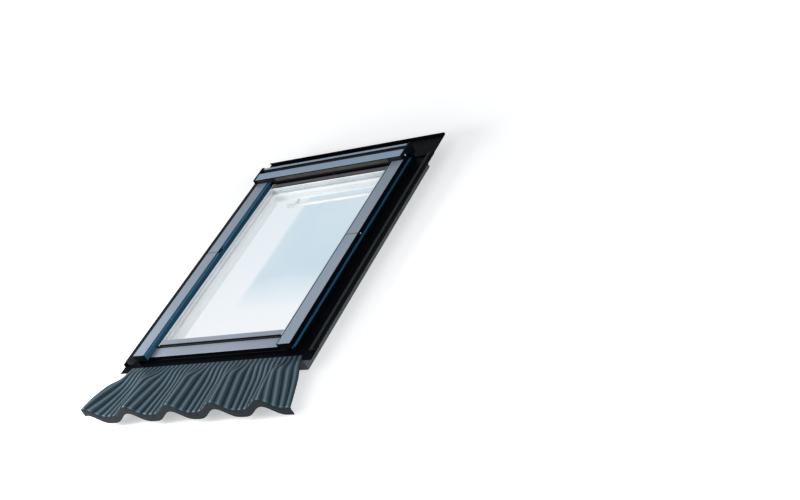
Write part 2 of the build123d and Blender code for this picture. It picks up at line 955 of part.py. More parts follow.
def apron_line(length_share, wave_share, lift, pleat_share, offset_z):
    """One line of corners across the apron, up and down at each pleat."""
    corners = []
    steps = 2 * pleat_count
    width = apron_top_width + (apron_width - apron_top_width) * length_share
    for step in range(steps + 1):
        x = width * (step / steps - 0.5)
        from_roll = x + apron_width / 2 - roll_from_edge
        swell = (1 + cos(2 * pi * from_roll / tile_pitch)) / 2
        wave = wave_share * tile_roll * swell**roll_sharpness
        pleat = pleat_share * pleat_height * (step % 2)
        flat = (1 - wave_share) * apron_top_z + wave_share * lowest_pan
        corners.append((x, flat + lift + wave + pleat + offset_z))
    return corners


with BuildPart() as apron:
    for length_share, wave_share, lift, pleat_share in apron_rows:
        with BuildSketch(across(apron_high + (lip_back - apron_high) * length_share)):
            with BuildLine():
                top_line = apron_line(length_share, wave_share, lift, pleat_share, apron_sheet)
                low_line = apron_line(length_share, wave_share, lift, pleat_share, 0.0)
                Polyline(*top_line, *reversed(low_line), close=True)
            make_face()
    loft(ruled=True)
    with BuildSketch(across(lip_back)):
        with BuildLine():
            top_line = apron_line(1.0, 1.0, 0.0, 1.0, apron_sheet)
            low_line = apron_line(1.0, 1.0, 0.0, 0.0, -apron_lip)
            Polyline(*top_line, *reversed(low_line), close=True)
        make_face()
    extrude(amount=lip_thickness)
save("flashing_apron", apron.part)

# Insulating collar: a foam bar along each side of the frame, below the deck plane
collar_low = frame_under + 2.0
collar_high = -seat_play
collar_out = half_width + seat_play + collar_width
collar_end = half_height + seat_play
collar_bars = [
    block(
        (half_width + seat_play, collar_out),
        (-collar_end - collar_width, collar_end + collar_width),
        (collar_low, collar_high),
        2.0,
    ),
    block(
        (-collar_out, -half_width - seat_play),
        (-collar_end - collar_width, collar_end + collar_width),
        (collar_low, collar_high),
        2.0,
    ),
    block((-half_width, half_width), (collar_end, collar_end + collar_width), (collar_low, collar_high)),
    block((-half_width, half_width), (-collar_end - collar_width, -collar_end), (collar_low, collar_high)),
]
for name, collar in zip(("right", "left", "top", "bottom"), collar_bars):
    save(f"collar_{name}", collar)

# Mounting brackets: one leg let into the stile, one leg on the deck
brackets = []
hole_x = half_width + bracket_reach - bracket_hole_inset
for side in (-1, 1):
    for row in (-1, 1):
        with BuildPart() as bracket:
            with BuildSketch(across(row * bracket_y + bracket_width / 2)):
                with BuildLine():
                    FilletPolyline(
                        (side * bracket_in, bracket_rise),
                        (side * bracket_in, 0),
                        (side * (half_width + bracket_reach), 0),
                        radius=3.0,
                    )
                    offset(amount=bracket_sheet, side=Side.LEFT if side > 0 else Side.RIGHT)
                make_face()
            extrude(amount=bracket_width)
            with BuildSketch(Plane.XY):
                with Locations((side * hole_x, row * bracket_y)):
                    Circle(bracket_hole_radius)
            extrude(amount=bracket_sheet, mode=Mode.SUBTRACT)
            for step in (-1, 1):
                seat = Plane(
                    origin=(side * half_width, row * bracket_y + step * screw_step, screw_z),
                    z_dir=(side, 0, 0),
                )
                with BuildSketch(seat):
                    Circle(screw_head_radius + hole_play)
                with BuildSketch(seat.offset(-bracket_sheet)):
                    Circle(screw_radius + hole_play)
                loft(mode=Mode.SUBTRACT)
        brackets.append(bracket.part)
save("mounting_brackets", *brackets)

bracket_screws = []
for side in (-1, 1):
    for y in screw_ys:
        seat = Plane(origin=(side * half_width, y, screw_z), z_dir=(side, 0, 0))
        with BuildPart() as screw:
            with BuildSketch(seat):
                Circle(screw_head_radius)
            with BuildSketch(seat.offset(-bracket_sheet)):
                Circle(screw_radius)
            loft()
            with BuildSketch(seat.offset(-bracket_sheet)):
                Circle(screw_radius)
            extrude(amount=-(screw_length - bracket_sheet))
            with BuildSketch(seat):
                RegularPolygon(2.0, 6)
            extrude(amount=-1.6, mode=Mode.SUBTRACT)
        bracket_screws.append(screw.part)
save("bracket_screws", *bracket_screws)

# Ventilation flap, hinged on two pins along its room-side edge
flap_outline = [
    (flap_axis_y, flap_axis_z - flap_radius),
    (flap_end, flap_axis_z - flap_radius),
    (flap_end, flap_axis_z + flap_radius),
    (flap_axis_y, flap_axis_z + flap_radius),
]
pin_depth = 12.0
with BuildPart() as flap:
    with BuildSketch(beside(-flap_x)) as flap_section:
        with BuildLine():
            Polyline(*flap_outline, close=True)
        make_face()
        with Locations((flap_axis_y, flap_axis_z)):
            Circle(flap_radius)
        fillet(flap_section.vertices().group_by(Axis.Y)[-1], 1.5)
    extrude(amount=2 * flap_x)
    for side in (-1, 1):
        with BuildSketch(beside(side * (flap_x - pin_depth))):
            with Locations((flap_axis_y, flap_axis_z)):
                Circle(flap_pin_radius + pin_play)
        extrude(amount=side * (pin_depth + 1.0), mode=Mode.SUBTRACT)
save("vent_flap", flap.part)

flap_seal_outline = [
    (flap_end, flap_axis_z - 2.0),
    (flap_end, flap_axis_z + 2.0),
    (flap_end + 1.2, flap_axis_z + 1.0),
    (flap_end + 1.2, flap_axis_z - 1.0),
]
save("flap_seal", bar_of(flap_seal_outline, beside(-flap_x), 2 * flap_x))

hinge_in = flap_x + 1.0
with BuildPart() as flap_hinge:
    with BuildSketch(beside(hinge_in)):
        with Locations((flap_axis_y, flap_axis_z)):
            Circle(7.0)
        with Locations(((sash_high + flap_axis_y) / 2, flap_axis_z)):
            Rectangle(flap_axis_y - sash_high, 14.0)
    extrude(amount=flap_bracket_sheet)
    add(
        block(
            (hinge_in, sash_x - 1.0),
            (sash_high, sash_high + flap_bracket_sheet),
            (flap_axis_z - 7.0, flap_axis_z + 7.0),
        )
    )
    with BuildSketch(beside(hinge_in + 1.0)):
        with Locations((flap_axis_y, flap_axis_z)):
            Circle(flap_pin_radius)
    extrude(amount=-pin_depth)
save("flap_hinges", flap_hinge.part, mirrored(flap_hinge.part))

# Control bar on two arms that reach from the flap into the room
bar_x = bar_length / 2
with BuildPart() as bar:
    with BuildSketch(beside(-bar_x)):
        with Locations((bar_y, bar_z)):
            SlotCenterToCenter(bar_width - bar_height, bar_height)
    extrude(amount=bar_length)
    fillet(bar.faces().filter_by(Axis.X).edges(), 2.0)
save("control_bar", bar.part)

arm_points = [
    (flap_axis_y + 1.0, flap_axis_z - flap_radius),
    (flap_axis_y + 14.0, flap_axis_z - flap_radius),
    (flap_axis_y + 3.0, bar_z - 1.0),
    (bar_y + bar_width / 2 + 1.0, bar_z - 4.0),
    (bar_y + bar_width / 2 + 1.0, bar_z + 4.0),
    (flap_axis_y - 6.0, bar_z + 7.0),
]
arms = []
for side in (-1, 1):
    with BuildPart() as arm:
        with BuildSketch(beside(side * arm_spacing / 2 - arm_thickness / 2)):
            with BuildLine():
                Polyline(*arm_points, close=True)
            make_face()
            with Locations((bar_y, bar_z)):
                SlotCenterToCenter(bar_width - bar_height + 2.0, bar_height + 5.0)
                SlotCenterToCenter(bar_width - bar_height, bar_height + 0.1, mode=Mode.SUBTRACT)
        extrude(amount=arm_thickness)
    arms.append(arm.part)
save("bar_arms", *arms)

# Filter strip between the flap and the underside of the hood
filter_z = sash_under + flap_thickness + filter_above_flap
save(
    "air_filter",
    block(
        (-sash_x + filter_end_gap, sash_x - filter_end_gap),
        (sash_high + seat_play, inner_high - 1.5),
        (filter_z, filter_z + filter_thickness),
    ),
)

# Latch: a case in the top rail, a bolt that the flap draws back, a keeper on the frame
case_top = rail_z - 1.0
latch_x = latch_width / 2
latch_half = latch_thickness / 2
with BuildPart() as latch_case:
    add(
        block(
            (-case_x, case_x),
            (case_back, sash_high - 0.5),
            (case_floor + 0.1, case_top),
        )
    )
    add(
        block(
            (-latch_x - seat_play, latch_x + seat_play),
            (case_back + 2.0, sash_high + 1.0),
            (latch_z - latch_half - seat_play, latch_z + latch_half + seat_play),
        ),
        mode=Mode.SUBTRACT,
    )
save("latch_case", latch_case.part)

latch_back = case_back + 2.0 + latch_travel + 2.0
with BuildPart() as latch:
    with BuildSketch(beside(-latch_x)) as latch_section:
        with Locations(((latch_back + latch_tip) / 2, latch_z)):
            Rectangle(latch_tip - latch_back, latch_thickness)
        chamfer(latch_section.vertices().group_by(Axis.Y)[-1], 2.5)
    extrude(amount=latch_width)
save("latch_bolt", latch.part)

cheek_in = latch_x + 0.6
cheek_out = cheek_in + 2.5
keeper_low = latch_z - 9.0
keeper_high = frame_top - 1.0
cheek_front = inner_high - 15.0
with BuildPart() as keeper:
    keeper_x = keeper_width / 2
    add(block((-keeper_x, keeper_x), (inner_high - 2.0, inner_high), (keeper_low, keeper_high)))
    for side in (-1, 1):
        add(
            block(
                tuple(sorted((side * cheek_in, side * cheek_out))),
                (cheek_front, inner_high - 1.0),
                (keeper_low, keeper_high),
            )
        )
    add(
        block(
            (-cheek_out, cheek_out),
            (cheek_front, inner_high - 1.0),
            (latch_z + latch_half + seat_play, keeper_high),
        )
    )
save("keeper", keeper.part)

# Barrel bolt on the sash, with two bushes in the right-hand stile
housing_out = sash_x - 2.0
housing_in = housing_out - bolt_housing_length
housing_half = bolt_radius + 4.0
bolt_tip = sash_x - 1.0
bolt_start = bolt_tip - bolt_length
with BuildPart() as housing:
    add(
        block(
            (housing_in, housing_out),
            (bolt_y - housing_half, bolt_y + housing_half),
            (bolt_z - bolt_radius - 2.0, sash_under),
            2.0,
        )
    )
    with BuildSketch(beside(housing_in - 1.0)):
        with Locations((bolt_y, bolt_z)):
            Circle(bolt_radius + pin_play)
    extrude(amount=housing_out - housing_in + 2.0, mode=Mode.SUBTRACT)
save("bolt_housing", housing.part)

knob_x = bolt_start + 5.0
with BuildPart() as bolt:
    add(rod((bolt_start, bolt_y, bolt_z), (1, 0, 0), bolt_radius, bolt_length))
    chamfer(bolt.faces().sort_by(Axis.X)[-1].edges(), 1.0)
    add(rod((knob_x, bolt_y, bolt_z), (0, -1, 0), 3.0, bolt_radius + 8.0))
save("barrel_bolt", bolt.part)

bushes = []
for y, z in bush_places:
    with BuildPart() as bush:
        with BuildSketch(beside(inner_x)):
            with Locations((y, z)):
                Circle(bush_radius)
        extrude(amount=bush_depth)
        with BuildSketch(beside(inner_x - 1.2)):
            with Locations((y, z)):
                Circle(bush_radius + 2.0)
        extrude(amount=1.2)
        with BuildSketch(beside(inner_x - 2.0)):
            with Locations((y, z)):
                Circle(bolt_radius + 0.6)
        extrude(amount=bush_depth, mode=Mode.SUBTRACT)
    bushes.append(bush.part)
save("bolt_bushes", *bushes)
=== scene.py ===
import math

import bmesh
import bpy
from mathutils import Matrix, Vector


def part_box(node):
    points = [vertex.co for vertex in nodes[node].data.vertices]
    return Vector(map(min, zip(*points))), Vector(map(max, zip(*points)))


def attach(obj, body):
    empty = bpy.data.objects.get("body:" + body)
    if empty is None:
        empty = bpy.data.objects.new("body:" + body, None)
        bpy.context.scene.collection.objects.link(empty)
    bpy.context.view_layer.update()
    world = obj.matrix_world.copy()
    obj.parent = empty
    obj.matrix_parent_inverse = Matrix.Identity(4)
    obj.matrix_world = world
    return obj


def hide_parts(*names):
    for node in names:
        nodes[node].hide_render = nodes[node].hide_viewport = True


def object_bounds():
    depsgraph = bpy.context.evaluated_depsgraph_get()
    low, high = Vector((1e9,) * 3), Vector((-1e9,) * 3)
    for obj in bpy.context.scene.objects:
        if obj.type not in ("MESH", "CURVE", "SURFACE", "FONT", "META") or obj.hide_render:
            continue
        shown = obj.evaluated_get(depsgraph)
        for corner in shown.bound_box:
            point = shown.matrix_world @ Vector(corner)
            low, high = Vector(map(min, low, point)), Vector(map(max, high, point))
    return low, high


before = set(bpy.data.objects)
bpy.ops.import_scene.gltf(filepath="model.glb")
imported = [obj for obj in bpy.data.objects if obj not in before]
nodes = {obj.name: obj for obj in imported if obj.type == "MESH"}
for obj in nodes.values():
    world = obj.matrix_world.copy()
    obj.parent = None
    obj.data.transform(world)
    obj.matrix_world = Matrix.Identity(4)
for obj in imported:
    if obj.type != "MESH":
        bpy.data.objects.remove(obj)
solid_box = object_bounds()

# Modelling by hand, in code


def let_go():
    bpy.ops.object.select_all(action="DESELECT")


def take(piece):
    let_go()
    piece.select_set(True)
    bpy.context.view_layer.objects.active = piece


def name_new(name):
    piece = bpy.context.view_layer.objects.active
    piece.name = name
    piece.data.name = name
    return piece


def open_mesh(piece, kind):
    take(piece)
    bpy.ops.object.mode_set(mode="EDIT")
    bpy.ops.mesh.select_mode(type=kind)
    bpy.ops.mesh.select_all(action="DESELECT")


def close_mesh():
    bpy.ops.object.mode_set(mode="OBJECT")


def pick_edges(piece, wanted):
    mesh = bmesh.from_edit_mesh(piece.data)
    for edge in mesh.edges:
        edge.select_set(bool(wanted(edge)))
    bmesh.update_edit_mesh(piece.data)


def pick_faces(piece, wanted):
    mesh = bmesh.from_edit_mesh(piece.data)
    mesh.normal_update()
    for face in mesh.faces:
        face.select_set(bool(wanted(face)))
    bmesh.update_edit_mesh(piece.data)


def finish_with(piece, kind, name, **values):
    take(piece)
    step = piece.modifiers.new(name, kind)
    for key, value in values.items():
        setattr(step, key, value)
    bpy.ops.object.modifier_apply(modifier=step.name)


def settle(piece):
    take(piece)
    bpy.ops.object.transform_apply(location=True, rotation=True, scale=True)


def smooth_below(piece, degrees):
    take(piece)
    bpy.ops.object.shade_smooth_by_angle(angle=math.radians(degrees))


def copy_of(piece, name):
    twin = piece.copy()
    twin.data = piece.data.copy()
    twin.name = name
    twin.data.name = name
    bpy.context.collection.objects.link(twin)
    return twin


def weigh_points(piece, name, weight_of):
    group = piece.vertex_groups.new(name=name)
    for vert in piece.data.vertices:
        group.add([vert.index], weight_of(vert.co), "REPLACE")


def mark_points(piece, name, value_of):
    marks = piece.data.attributes.new(name, "FLOAT", "POINT")
    for vert in piece.data.vertices:
        marks.data[vert.index].value = value_of(vert.co)


# Building materials

FLOAT = "NodeSocketFloat"
VECTOR = "NodeSocketVector"


def add_node(tree, kind, settings=None, **inputs):
    """A node with its settings. Inputs go by name, or by place as i0, i1 and so on."""
    node = tree.nodes.new(kind)
    for key, value in (settings or {}).items():
        setattr(node, key, value)
    for key, value in inputs.items():
        by_place = key[0] == "i" and key[1:].isdigit()
        socket = node.inputs[int(key[1:])] if by_place else node.inputs[key]
        if isinstance(value, bpy.types.NodeSocket):
            tree.links.new(value, socket)
        else:
            socket.default_value = value
    return node


def maths(tree, operation, first, second=0.0):
    return add_node(tree, "ShaderNodeMath", {"operation": operation}, i0=first, i1=second).outputs[0]


def above(tree, value, limit):
    return maths(tree, "GREATER_THAN", value, limit)


def ramp(tree, value, from_low, from_high, to_low=0.0, to_high=1.0):
    node = add_node(tree, "ShaderNodeMapRange", i0=value, i1=from_low, i2=from_high, i3=to_low, i4=to_high)
    return node.outputs[0]


def noise_at(tree, place, size, detail):
    return add_node(tree, "ShaderNodeTexNoise", i0=place, Scale=size, Detail=detail).outputs["Fac"]


def mix_colours(tree, factor, first, second, blend="MIX"):
    node = tree.nodes.new("ShaderNodeMix")
    node.data_type = "RGBA"
    node.blend_type = blend
    for index, value in ((0, factor), (6, first), (7, second)):
        if isinstance(value, bpy.types.NodeSocket):
            tree.links.new(value, node.inputs[index])
        elif index == 0:
            node.inputs[index].default_value = value
        else:
            node.inputs[index].default_value = (*value, 1.0)
    return node.outputs[2]


def own_place(tree):
    return tree.nodes.new("ShaderNodeTexCoord").outputs["Object"]


def place_axis(tree, axis, size_only=False):
    """One of the object's own coordinates, without its sign if only its size counts."""
    spot = add_node(tree, "ShaderNodeSeparateXYZ", i0=own_place(tree)).outputs[axis]
    return maths(tree, "ABSOLUTE", spot) if size_only else spot


def new_group(name, inputs, outputs):
    group = bpy.data.node_groups.new(name, "ShaderNodeTree")
    for label, kind, value in inputs:
        socket = group.interface.new_socket(label, in_out="INPUT", socket_type=kind)
        socket.default_value = value
    for label in outputs:
        group.interface.new_socket(label, in_out="OUTPUT", socket_type=FLOAT)
    start = group.nodes.new("NodeGroupInput")
    end = group.nodes.new("NodeGroupOutput")
    return group, start.outputs, end.inputs


def group_in(tree, group, **inputs):
    node = tree.nodes.new("ShaderNodeGroup")
    node.node_tree = group
    for key, value in inputs.items():
        node.inputs[key].default_value = value
    return node.outputs


def new_material(name):
    material = bpy.data.materials.new(name)
    material.use_nodes = True
    tree = material.node_tree
    return material, tree, tree.nodes["Principled BSDF"]


def show(tree, surface):
    tree.links.new(surface, tree.nodes["Material Output"].inputs["Surface"])


# Finishes that more than one material shares


def make_cloudiness():
    """Slow light and dark patches with a given size and strength, around one."""
    inputs = [("Size", FLOAT, 4.0), ("Low", FLOAT, 0.9), ("High", FLOAT, 1.1)]
    group, start, end = new_group("soft patches", inputs, ["Factor"])
    noise = noise_at(group, own_place(group), start["Size"], 5.0)
    group.links.new(ramp(group, noise, 0.3, 0.7, start["Low"], start["High"]), end["Factor"])
    return group


def make_settled_dust():
    """Dust on faces that look out of the roof, broken up by noise."""
    inputs = [("Amount", FLOAT, 0.15), ("Size", FLOAT, 12.0)]
    group, start, end = new_group("settled dust", inputs, ["Mask"])
    place = group.nodes.new("ShaderNodeTexCoord").outputs
    upright = add_node(group, "ShaderNodeSeparateXYZ", i0=place["Normal"]).outputs["Z"]
    facing = ramp(group, upright, 0.4, 0.95)
    specks = ramp(group, noise_at(group, place["Object"], start["Size"], 8.0), 0.45, 0.75)
    lying = maths(group, "MULTIPLY", facing, specks)
    group.links.new(maths(group, "MULTIPLY", lying, start["Amount"]), end["Mask"])
    return group


def make_face_sides():
    """Which way a face looks: out of the roof, away from the window's middle, and where a seam lies."""
    inputs = [("Seam", FLOAT, 0.0), ("Seam half width", FLOAT, 0.0018)]
    group, start, end = new_group("face sides", inputs, ["Up", "Outward", "Seam"])
    place = group.nodes.new("ShaderNodeTexCoord").outputs
    look = add_node(group, "ShaderNodeSeparateXYZ", i0=place["Normal"]).outputs
    spot = add_node(group, "ShaderNodeSeparateXYZ", i0=place["Object"]).outputs
    beyond = ramp(group, maths(group, "MULTIPLY", look["X"], spot["X"]), -0.02, 0.02)
    end_face = above(group, maths(group, "ABSOLUTE", look["Y"]), 0.5)
    from_seam = maths(group, "ABSOLUTE", maths(group, "SUBTRACT", spot["Y"], start["Seam"]))
    group.links.new(ramp(group, look["Z"], 0.35, 0.75), end["Up"])
    group.links.new(maths(group, "MAXIMUM", beyond, end_face), end["Outward"])
    group.links.new(maths(group, "LESS_THAN", from_seam, start["Seam half width"]), end["Seam"])
    return group


def make_fine_grain():
    """The fine pebbled skin of baked lacquer and moulded plastic, as a height."""
    group, start, end = new_group("lacquer skin", [("Size", FLOAT, 900.0)], ["Height"])
    group.links.new(noise_at(group, own_place(group), start["Size"], 2.0), end["Height"])
    return group


def stretched_place(group, stretch):
    """The object's own coordinates, drawn out along one axis."""
    return add_node(
        group, "ShaderNodeVectorMath", {"operation": "MULTIPLY"}, i0=own_place(group), i1=stretch
    ).outputs[0]


def make_drawn_lines():
    """Fine lines from drawing or rolling, along one axis by the stretch given."""
    inputs = [("Stretch", VECTOR, (1.0, 1.0, 1.0)), ("Size", FLOAT, 300.0)]
    group, start, end = new_group("drawn lines", inputs, ["Height"])
    place = stretched_place(group, start["Stretch"])
    group.links.new(noise_at(group, place, start["Size"], 3.0), end["Height"])
    return group


def make_wood_rings():
    """Pine: early and late wood in rings that run along one axis, with fine fibres."""
    inputs = [("Stretch", VECTOR, (1.0, 1.0, 1.0)), ("Rings", FLOAT, 90.0)]
    group, start, end = new_group("pine rings", inputs, ["Rings", "Fibres"])
    place = stretched_place(group, start["Stretch"])
    saw_rings = {"wave_type": "RINGS", "rings_direction": "SPHERICAL", "wave_profile": "SAW"}
    rings = add_node(group, "ShaderNodeTexWave", saw_rings, i0=place, Scale=start["Rings"])
    rings.inputs["Distortion"].default_value = 3.0
    rings.inputs["Detail"].default_value = 3.0
    rings.inputs["Detail Scale"].default_value = 1.5
    group.links.new(rings.outputs["Fac"], end["Rings"])
    group.links.new(noise_at(group, place, 900.0, 4.0), end["Fibres"])
    return group


patches = make_cloudiness()
dust = make_settled_dust()
sides = make_face_sides()
grain = make_fine_grain()
drawn_lines = make_drawn_lines()
pine = make_wood_rings()


def clouded(tree, colour, size, low, high):
    """A colour with slow light and dark patches."""
    cloud = group_in(tree, patches, Size=size, Low=low, High=high)["Factor"]
    return mix_colours(tree, 1.0, colour, cloud, "MULTIPLY")


def dusted(tree, colour, amount, size, dust_colour):
    return mix_colours(tree, group_in(tree, dust, Amount=amount, Size=size)["Mask"], colour, dust_colour)


def uneven_roughness(tree, shader, size, low, high):
    rough = group_in(tree, patches, Size=size, Low=low, High=high)["Factor"]
    tree.links.new(rough, shader.inputs["Roughness"])


def bump(tree, shader, height, strength, depth):
    node = add_node(tree, "ShaderNodeBump", Strength=strength, Distance=depth, Height=height)
    tree.links.new(node.outputs["Normal"], shader.inputs["Normal"])


def grain_bump(tree, shader, size, strength, depth):
    bump(tree, shader, group_in(tree, grain, Size=size)["Height"], strength, depth)


def finish_lacquer(tree, shader, colour, roughness, gloss):
    tree.links.new(colour, shader.inputs["Base Color"])
    uneven_roughness(tree, shader, 9.0, roughness - 0.04, roughness + 0.07)
    grain_bump(tree, shader, 700.0, 0.12, 0.0004)
    shader.inputs["Specular IOR Level"].default_value = gloss


def light_top(tree, colour):
    """The light tone of the covers' tops, partly a painted reflection of the sky, with slow patches and
    settled dust.
    """
    return dusted(tree, clouded(tree, colour, 3.5, 0.93, 1.06), 0.06, 26.0, TOP_DUST)


def metal_on_top(tree, shader, light):
    """The light tops have a little metal in them, and the faces painted dark for shade have none."""
    tree.links.new(ramp(tree, light, 0.0, 1.0, 0.0, TOP_METAL), shader.inputs["Metallic"])


# Lacquered aluminium

# Painted light: these tones paint light and shade onto what is one grey lacquer. The near-black of walls,
# seams, lines, gaps and the hood's groove is painted shade. The inner walls' blue and teal paint shade and
# reflection. The pale ledge tone is a painted reflection and the blue skirt edge a painted highlight. The
# light tops are partly a painted reflection of the sky.
SHADE_BLACK = (0.0015, 0.0026, 0.0042)
# A black coat on flashing and covers, and painted shade on the fascia's ends, the baffle and the timber's
# tops.
BLACK_COAT_AND_SHADE = (0.0015, 0.0020, 0.0030)
CAP_NAVY = (0.001, 0.003, 0.007)
EDGE_SHADE = (0.008, 0.030, 0.050)
WALL_SHADE_BLUE = (0.030, 0.110, 0.200)
WALL_SHADE_TEAL = (0.062, 0.160, 0.250)
LEDGE_BLUE = (0.058, 0.110, 0.150)
LEDGE_REFLECTION = (0.620, 0.740, 0.840)
SKIRT_HIGHLIGHT = (0.018, 0.085, 0.165)
COVER_GREY = (0.275, 0.325, 0.395)
HOOD_GREY = (0.285, 0.375, 0.490)
BAND_GREY = (0.275, 0.315, 0.375)
FASCIA_BROWN = (0.048, 0.045, 0.042)
TOP_BEAD_GREY = (0.138, 0.143, 0.150)
TOP_DUST = (0.40, 0.40, 0.39)
BLACK_DUST = (0.03, 0.03, 0.03)
TOP_METAL = 0.2
DARK_GLOSS = 0.02

COVER_SEAM = 0.023
SEAM_HALF_WIDTH = 0.0016
EDGE_SHADE_WIDTH = 0.0055
SIDE_WALL = 0.002
COVER_WALL_BREAK = 0.0583
SKIRT_LOW = 0.0450
HOOD_SHADE_BELOW = 0.0862
BAND_SHADE_LINE = 0.0045
SHADE_STRIP = 0.0020
LEDGE_REFLECTION_WIDTH = 0.003
LEDGE_BLUE_TO = 0.0065
LEDGE_SHADE_LINE_TO = 0.0125
FRAME_COVER_HIGHLIGHT_FROM = 0.0325
FASCIA_SHADE_LEFT_TO = -0.285
FASCIA_SHADE_RIGHT_FROM = 0.322
FASCIA_SHEET = 0.004
TOP_BEAD_SHADE_LINE = 0.003
TOP_BEAD_STRIP = 0.025

bead_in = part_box("side_bead_right")[0][0]
bead_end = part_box("bottom_bead")[0][1]
top_bead_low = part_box("top_bead")[0][1]
fascia_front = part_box("hood_fascia")[0][1]
cover_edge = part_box("upper_cover_right")[0][0]
cover_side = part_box("upper_cover_right")[1][0]


def make_cover_lacquer():
    """Side covers: light tops that are partly a painted reflection of the sky, and a dark line of painted
    shade at the seam and the inner edge. The inner walls are blue and teal, which paint shade and
    reflection. The outer walls are black painted shade with a painted blue highlight low on them.
    """
    material, tree, shader = new_material("grey lacquered cover")
    side = group_in(tree, sides, **{"Seam": COVER_SEAM, "Seam half width": SEAM_HALF_WIDTH})
    height = place_axis(tree, "Z")
    across = place_axis(tree, "X", size_only=True)
    # Painted shade and reflection: the inner walls are blue low down and teal higher up.
    inner = mix_colours(tree, above(tree, height, COVER_WALL_BREAK), WALL_SHADE_BLUE, WALL_SHADE_TEAL)
    # Painted highlight: a blue line low on the outermost wall face; the rest of the outer wall is painted
    # shade in black.
    skirt_highlit = mix_colours(tree, above(tree, height, SKIRT_LOW), SKIRT_HIGHLIGHT, SHADE_BLACK)
    outer = mix_colours(tree, above(tree, across, cover_side - SIDE_WALL), SHADE_BLACK, skirt_highlit)
    wall = mix_colours(tree, side["Outward"], inner, outer)
    # Painted shade: a dark line along the inner edge of the top.
    past_edge = above(tree, across, cover_edge + EDGE_SHADE_WIDTH)
    shade_lined = mix_colours(tree, past_edge, EDGE_SHADE, light_top(tree, COVER_GREY))
    # The light top is partly a painted reflection of the sky, and the walls under it carry painted shade.
    faced = mix_colours(tree, side["Up"], wall, shade_lined)
    # Painted shade: a black line across the seam.
    seamed = mix_colours(tree, side["Seam"], faced, SHADE_BLACK)
    metal_on_top(tree, shader, side["Up"])
    finish_lacquer(tree, shader, seamed, 0.36, DARK_GLOSS)
    return material


def band_lacquer(name, top, axis, limit, light_beyond=True):
    """The hood and the bottom bands: light tops that are partly a painted reflection of the sky. Their
    other faces, and one side of a limit along one axis, are painted shade in black.
    """
    material, tree, shader = new_material(name)
    order = "GREATER_THAN" if light_beyond else "LESS_THAN"
    # Painted shade: outside the limit, and on faces that do not look up, the band is black.
    within = maths(tree, order, place_axis(tree, axis), limit)
    light = maths(tree, "MULTIPLY", group_in(tree, sides)["Up"], within)
    metal_on_top(tree, shader, light)
    faced = mix_colours(tree, light, SHADE_BLACK, light_top(tree, top))
    finish_lacquer(tree, shader, faced, 0.36, DARK_GLOSS)
    return material


def make_ledge_lacquer():
    """Glazing bead: a painted reflection in pale along the glass, then blue, a black line of painted
    shade, and at the wall a strip of the walls' painted blue of shade and reflection.
    """
    material, tree, shader = new_material("navy lacquered bead")
    across = place_axis(tree, "X", size_only=True)
    pale = mix_colours(tree, above(tree, across, bead_in + LEDGE_REFLECTION_WIDTH), LEDGE_REFLECTION, LEDGE_BLUE)
    shade_lined = mix_colours(tree, above(tree, across, bead_in + LEDGE_BLUE_TO), pale, SHADE_BLACK)
    walled = mix_colours(tree, above(tree, across, bead_in + LEDGE_SHADE_LINE_TO), shade_lined, WALL_SHADE_BLUE)
    shader.inputs["Metallic"].default_value = 0.3
    finish_lacquer(tree, shader, walled, 0.34, 0.3)
    return material


def matt_black(name, colour, highlight_above=None):
    """Black lacquer with hardly any gloss. A height may be given above which a painted blue highlight
    shows.
    """
    material, tree, shader = new_material(name)
    toned = clouded(tree, colour, 6.0, 0.8, 1.15)
    if highlight_above is not None:
        toned = mix_colours(tree, above(tree, place_axis(tree, "Z"), highlight_above), toned, SKIRT_HIGHLIGHT)
    finish_lacquer(tree, shader, dusted(tree, toned, 0.04, 30.0, BLACK_DUST), 0.5, DARK_GLOSS)
    return material


def make_top_bead_finish():
    """The top bead: painted shade in a black line at the glass, a grey strip, and painted shade in black
    behind it.
    """
    material, tree, shader = new_material("grey top bead")
    along = place_axis(tree, "Y")
    strip = clouded(tree, TOP_BEAD_GREY, 14.0, 0.9, 1.08)
    # Painted shade: black at the glass and behind the grey strip.
    glass_shade_lined = mix_colours(tree, above(tree, along, top_bead_low + TOP_BEAD_SHADE_LINE), SHADE_BLACK, strip)
    back_shaded = mix_colours(tree, above(tree, along, top_bead_low + TOP_BEAD_STRIP), glass_shade_lined, SHADE_BLACK)
    finish_lacquer(tree, shader, back_shaded, 0.5, 0.1)
    return material


def make_fascia_finish():
    """The hood's fascia: grey-brown in front, with painted shade in black at its ends and on the baffle
    behind it.
    """
    material, tree, shader = new_material("grey-brown fascia")
    across = place_axis(tree, "X")
    front = clouded(tree, FASCIA_BROWN, 14.0, 0.9, 1.08)
    # Painted shade: black past a point at each end, further in on the left than on the right.
    right_end_shade = mix_colours(tree, above(tree, across, FASCIA_SHADE_RIGHT_FROM), front, BLACK_COAT_AND_SHADE)
    ends_shaded = mix_colours(tree, above(tree, across, FASCIA_SHADE_LEFT_TO), BLACK_COAT_AND_SHADE, right_end_shade)
    behind = above(tree, place_axis(tree, "Y"), fascia_front + FASCIA_SHEET)
    tree.links.new(mix_colours(tree, behind, ends_shaded, BLACK_COAT_AND_SHADE), shader.inputs["Base Color"])
    shader.inputs["Roughness"].default_value = 0.6
    shader.inputs["Specular IOR Level"].default_value = 0.2
    grain_bump(tree, shader, 420.0, 0.25, 0.0003)
    return material


